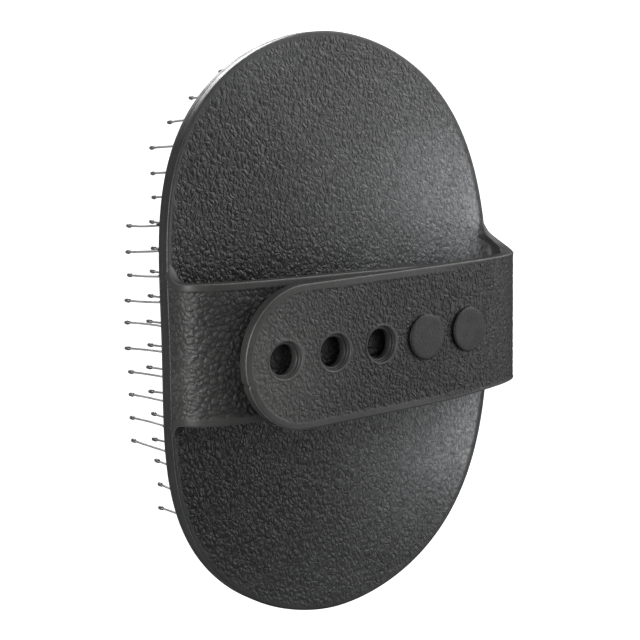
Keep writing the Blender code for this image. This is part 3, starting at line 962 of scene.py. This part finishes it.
def make_outer_strap(material):
    far_span = INNER_STRAP_SPAN + LAYER_STEP
    line = arch_line(OUTER_STRAP_SPAN, far_span, OUTER_STRAP_HEIGHT, TONGUE_TIP_X - LINE_OVERRUN)
    tip = (TONGUE_TIP_X, TONGUE_ROUND_LENGTH)
    strap = strap_shape(
        line,
        OUTER_STRAP_WIDTH,
        OUTER_FLARES,
        tip,
        1,
        skew=TONGUE_SKEW,
        waist=WAIST,
        nick=NICK_Y,
        fade=BORDER_FADE,
    )
    wall = button_hole()
    holes = [(FIRST_HOLE_X + HOLE_PITCH * i, HOLE_RADIUS + HOLE_MOUTH, wall) for i in range(HOLE_COUNT)]

    def grain_of(s, w):
        return pebbles(s, w, **OUTER_GRAIN)

    return grained_object("outer_strap_skin", strap_skin(strap, holes, grain_of), OUTER_GRAIN_DEPTH, material)


def make_inner_strap(material):
    far_span = OUTER_STRAP_SPAN - LAYER_STEP
    line = arch_line(INNER_STRAP_SPAN, far_span, INNER_STRAP_HEIGHT, -INNER_TIP_X - LINE_OVERRUN)
    tip = (-INNER_TIP_X, INNER_ROUND_LENGTH)
    strap = strap_shape(line, INNER_STRAP_WIDTH, INNER_FLARES, tip, -1)
    radius = STUD_NECK_RADIUS + STUD_CLEARANCE
    wall = [(0.0, -0.0005), (0.0, -0.0020), (0.0, 0.0005 - STRAP_THICKNESS), (0.0, -STRAP_THICKNESS)]
    holes = [(-(FIRST_HOLE_X + HOLE_PITCH * i), radius, wall) for i in STUD_HOLES]

    def grain_of(s, w):
        worn = np.exp(-(((s - WORN_PLACE) / WORN_REACH) ** 2))
        return 1 - (1 - pebbles(s, w, **INNER_GRAIN)) * (1 - WORN_SHARE * worn)

    return grained_object("inner_strap_skin", strap_skin(strap, holes, grain_of), INNER_GRAIN_DEPTH, material)


# ---------------------------------------------------------------- studs


def hole_frame(x):
    """Placement at a spot on the middle of the outer strap, with Z square to the strap."""
    span = OUTER_STRAP_SPAN if x > 0 else INNER_STRAP_SPAN + LAYER_STEP
    step = 1e-5

    def height(at):
        return PLATE_TOP + OUTER_STRAP_HEIGHT * (1 - (abs(at) / span) ** ARCH_POWER) ** (1 / ARCH_POWER)

    tilt = -math.atan2(height(x + step) - height(x - step), 2 * step)
    y = STRAP_Y + TONGUE_SKEW * (x - SKEW_PIVOT_X)
    return Matrix.Translation((x, y, height(x))) @ Matrix.Rotation(tilt, 4, "Y")


def make_button(number, hole, material):
    """A spool-shaped stud with a slightly uneven moulded rim on its head."""
    under = STRAP_THICKNESS / 2 + STUD_CLEARANCE
    top = under + STUD_HEAD_THICKNESS
    foot = -LAYER_STEP - STRAP_THICKNESS / 2 - STUD_CLEARANCE
    profile = [(radius, top - drop) for radius, drop in HEAD_PROFILE]
    profile += [(0.0063, under + 0.00008), (0.0060, under), (STUD_NECK_RADIUS + NECK_FILLET, under)]
    profile += [(STUD_NECK_RADIUS, under - NECK_FILLET), (STUD_NECK_RADIUS, foot + NECK_FILLET)]
    profile += [(STUD_NECK_RADIUS + NECK_FILLET, foot), (STUD_FOOT_RADIUS - FOOT_ROUNDING, foot)]
    profile += [(STUD_FOOT_RADIUS, foot - FOOT_ROUNDING)]
    profile += [(STUD_FOOT_RADIUS - FOOT_ROUNDING, foot - STUD_FOOT_THICKNESS)]
    profile += [(0.0, foot - STUD_FOOT_THICKNESS)]
    sides = STUD_SIDES
    vertices, faces = [Vector((0, 0, profile[0][1]))], []
    for radius, height in profile[1:-1]:
        for side in range(sides):
            angle = 2 * math.pi * side / sides
            c, s = math.cos(angle), math.sin(angle)
            uneven = 1 + HEAD_UNEVENNESS * noise.noise(Vector((c, s, number * 3.7)) * 1.7)
            vertices.append(Vector((radius * uneven * c, radius * uneven * s, height)))
    vertices.append(Vector((0, 0, profile[-1][1])))
    rings = len(profile) - 2
    for side in range(sides):
        ahead = (side + 1) % sides
        faces.append((0, 1 + side, 1 + ahead))
        for ring in range(rings - 1):
            a, b = 1 + ring * sides, 1 + (ring + 1) * sides
            faces.append((a + side, b + side, b + ahead, a + ahead))
        last = 1 + (rings - 1) * sides
        faces.append((last + side, len(vertices) - 1, last + ahead))
    place = hole_frame(FIRST_HOLE_X + HOLE_PITCH * hole)
    for vertex in vertices:
        if vertex.z > under:
            vertex.z = under + (vertex.z - under) * HEAD_FLATNESS - HEAD_LEAN * vertex.x
    vertices = [place @ v for v in vertices]
    field = np.ones(len(vertices))
    return mesh_object(f"button_{number}", vertices, faces, material, field=field, sharp=50)


# ---------------------------------------------------------------- stage


def add_lamp(name, place, size, power):
    light = bpy.data.lights.new(name, "AREA")
    light.shape = "DISK"
    light.size = size
    light.energy = power
    obj = bpy.data.objects.new(name, light)
    obj.location = place
    obj.rotation_mode = "QUATERNION"
    obj.rotation_quaternion = (Vector(LIGHT_AIM) - Vector(place)).to_track_quat("-Z", "Y")
    bpy.context.scene.collection.objects.link(obj)


def glow_material(name, strength, diffuse):
    """A pale surface that is partly lit by itself, like a light table."""
    material, tree, shader = new_material(name)
    tone = remap(tree, noise_node(tree, 3.0), 0.0, 1.0, diffuse * 0.98, diffuse)
    tree.links.new(tinted(tree, (1.0, 1.0, 1.0), tone), shader.inputs["Base Color"])
    shader.inputs["Roughness"].default_value = 0.9
    shader.inputs["Specular IOR Level"].default_value = 0.0
    shader.inputs["Emission Color"].default_value = (1.0, 1.0, 1.0, 1.0)
    shader.inputs["Emission Strength"].default_value = strength
    return material


def seen_from_front(material):
    """The back of the surface lets the view through."""
    tree = material.node_tree
    output = next(node for node in tree.nodes if node.type == "OUTPUT_MATERIAL")
    front = output.inputs["Surface"].links[0].from_socket
    side = tree.nodes.new("ShaderNodeNewGeometry")
    clear = tree.nodes.new("ShaderNodeBsdfTransparent")
    mix = tree.nodes.new("ShaderNodeMixShader")
    tree.links.new(side.outputs["Backfacing"], mix.inputs[0])
    tree.links.new(front, mix.inputs[1])
    tree.links.new(clear.outputs[0], mix.inputs[2])
    tree.links.new(mix.outputs[0], output.inputs["Surface"])


def stage_piece(name, shape, height, material):
    """A piece of the stage that the camera sees, but that neither lights nor shades the object."""
    mesh = bpy.data.meshes.new(name)
    shape.to_mesh(mesh)
    shape.free()
    mesh.materials.append(material)
    piece = bpy.data.objects.new(name, mesh)
    piece.location = (0.0, 0.0, height)
    bpy.context.scene.collection.objects.link(piece)
    piece.visible_diffuse = False
    piece.visible_glossy = False
    piece.visible_shadow = False


def make_stage():
    pale = glow_material("pale_floor", 1.0, 0.5)
    seen_from_front(pale)
    shape = bmesh.new()
    bmesh.ops.create_grid(shape, x_segments=1, y_segments=1, size=FLOOR_HALF)
    stage_piece("floor", shape, FLOOR_Z, pale)
    shape = bmesh.new()
    bmesh.ops.create_uvsphere(shape, u_segments=48, v_segments=24, radius=BACKDROP_RADIUS)
    stage_piece("backdrop", shape, 0.0, glow_material("pale_backdrop", 1.0, 0.5))

    world = bpy.data.worlds.new("studio")
    bpy.context.scene.world = world
    world.use_nodes = True
    background = world.node_tree.nodes["Background"]
    background.inputs["Color"].default_value = (1.0, 1.0, 1.0, 1.0)
    background.inputs["Strength"].default_value = WORLD_STRENGTH

    for lamp in LAMPS:
        add_lamp(*lamp)


def make_camera():
    azimuth, elevation, roll = CAMERA_TURN
    level = math.cos(elevation)
    back = Vector((-math.sin(azimuth) * level, math.sin(elevation), math.cos(azimuth) * level))
    right = (-back).cross(Vector((0, 1, 0))).normalized()
    up = right.cross(-back)
    turned_right = math.cos(roll) * right + math.sin(roll) * up
    turned_up = -math.sin(roll) * right + math.cos(roll) * up
    data = bpy.data.cameras.new("camera")
    data.lens = CAMERA_LENS
    data.sensor_width = SENSOR_WIDTH
    data.clip_start = 0.01
    camera = bpy.data.objects.new("camera", data)
    axes = Matrix((turned_right, turned_up, back)).transposed()
    camera.matrix_world = Matrix.Translation(CAMERA_PLACE) @ axes.to_4x4()
    bpy.context.scene.collection.objects.link(camera)
    bpy.context.scene.camera = camera


# ---------------------------------------------------------------- assembly


def build():
    noise.seed_set(GRAIN_SEED)
    rubber = rubber_material("plate_rubber", **PLATE_RUBBER)
    pad_rubber = rubber_material("pad_rubber", **PAD_RUBBER)
    strap_rubber = rubber_material("strap_rubber", **STRAP_RUBBER)
    band_rubber = rubber_material("band_rubber", **BAND_RUBBER)
    stud_rubber = rubber_material("stud_rubber", **STUD_RUBBER)

    plate = make_plate(rubber)
    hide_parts("base_plate")
    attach(plate, "comb")

    pad = make_pad(pad_rubber)
    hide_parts("pin_pad")
    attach(pad, "comb")

    sockets = make_sockets(pad_rubber)
    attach(sockets, "comb")

    for number, row in enumerate(make_pin_rows(steel_material(), tip_material()), start=1):
        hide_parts(f"pin_row_{number:02d}")
        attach(row, "comb")

    outer = make_outer_strap(strap_rubber)
    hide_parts("outer_strap")
    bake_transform(outer)

    inner = make_inner_strap(band_rubber)
    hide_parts("inner_strap")
    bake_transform(inner)

    for number, hole in enumerate(STUD_HOLES, start=1):
        button = make_button(number, hole, stud_rubber)
        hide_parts(f"stud_{number}")
        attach(button, "inner_band")

    make_stage()
    make_camera()
    bpy.context.scene.view_settings.view_transform = "Standard"


build()
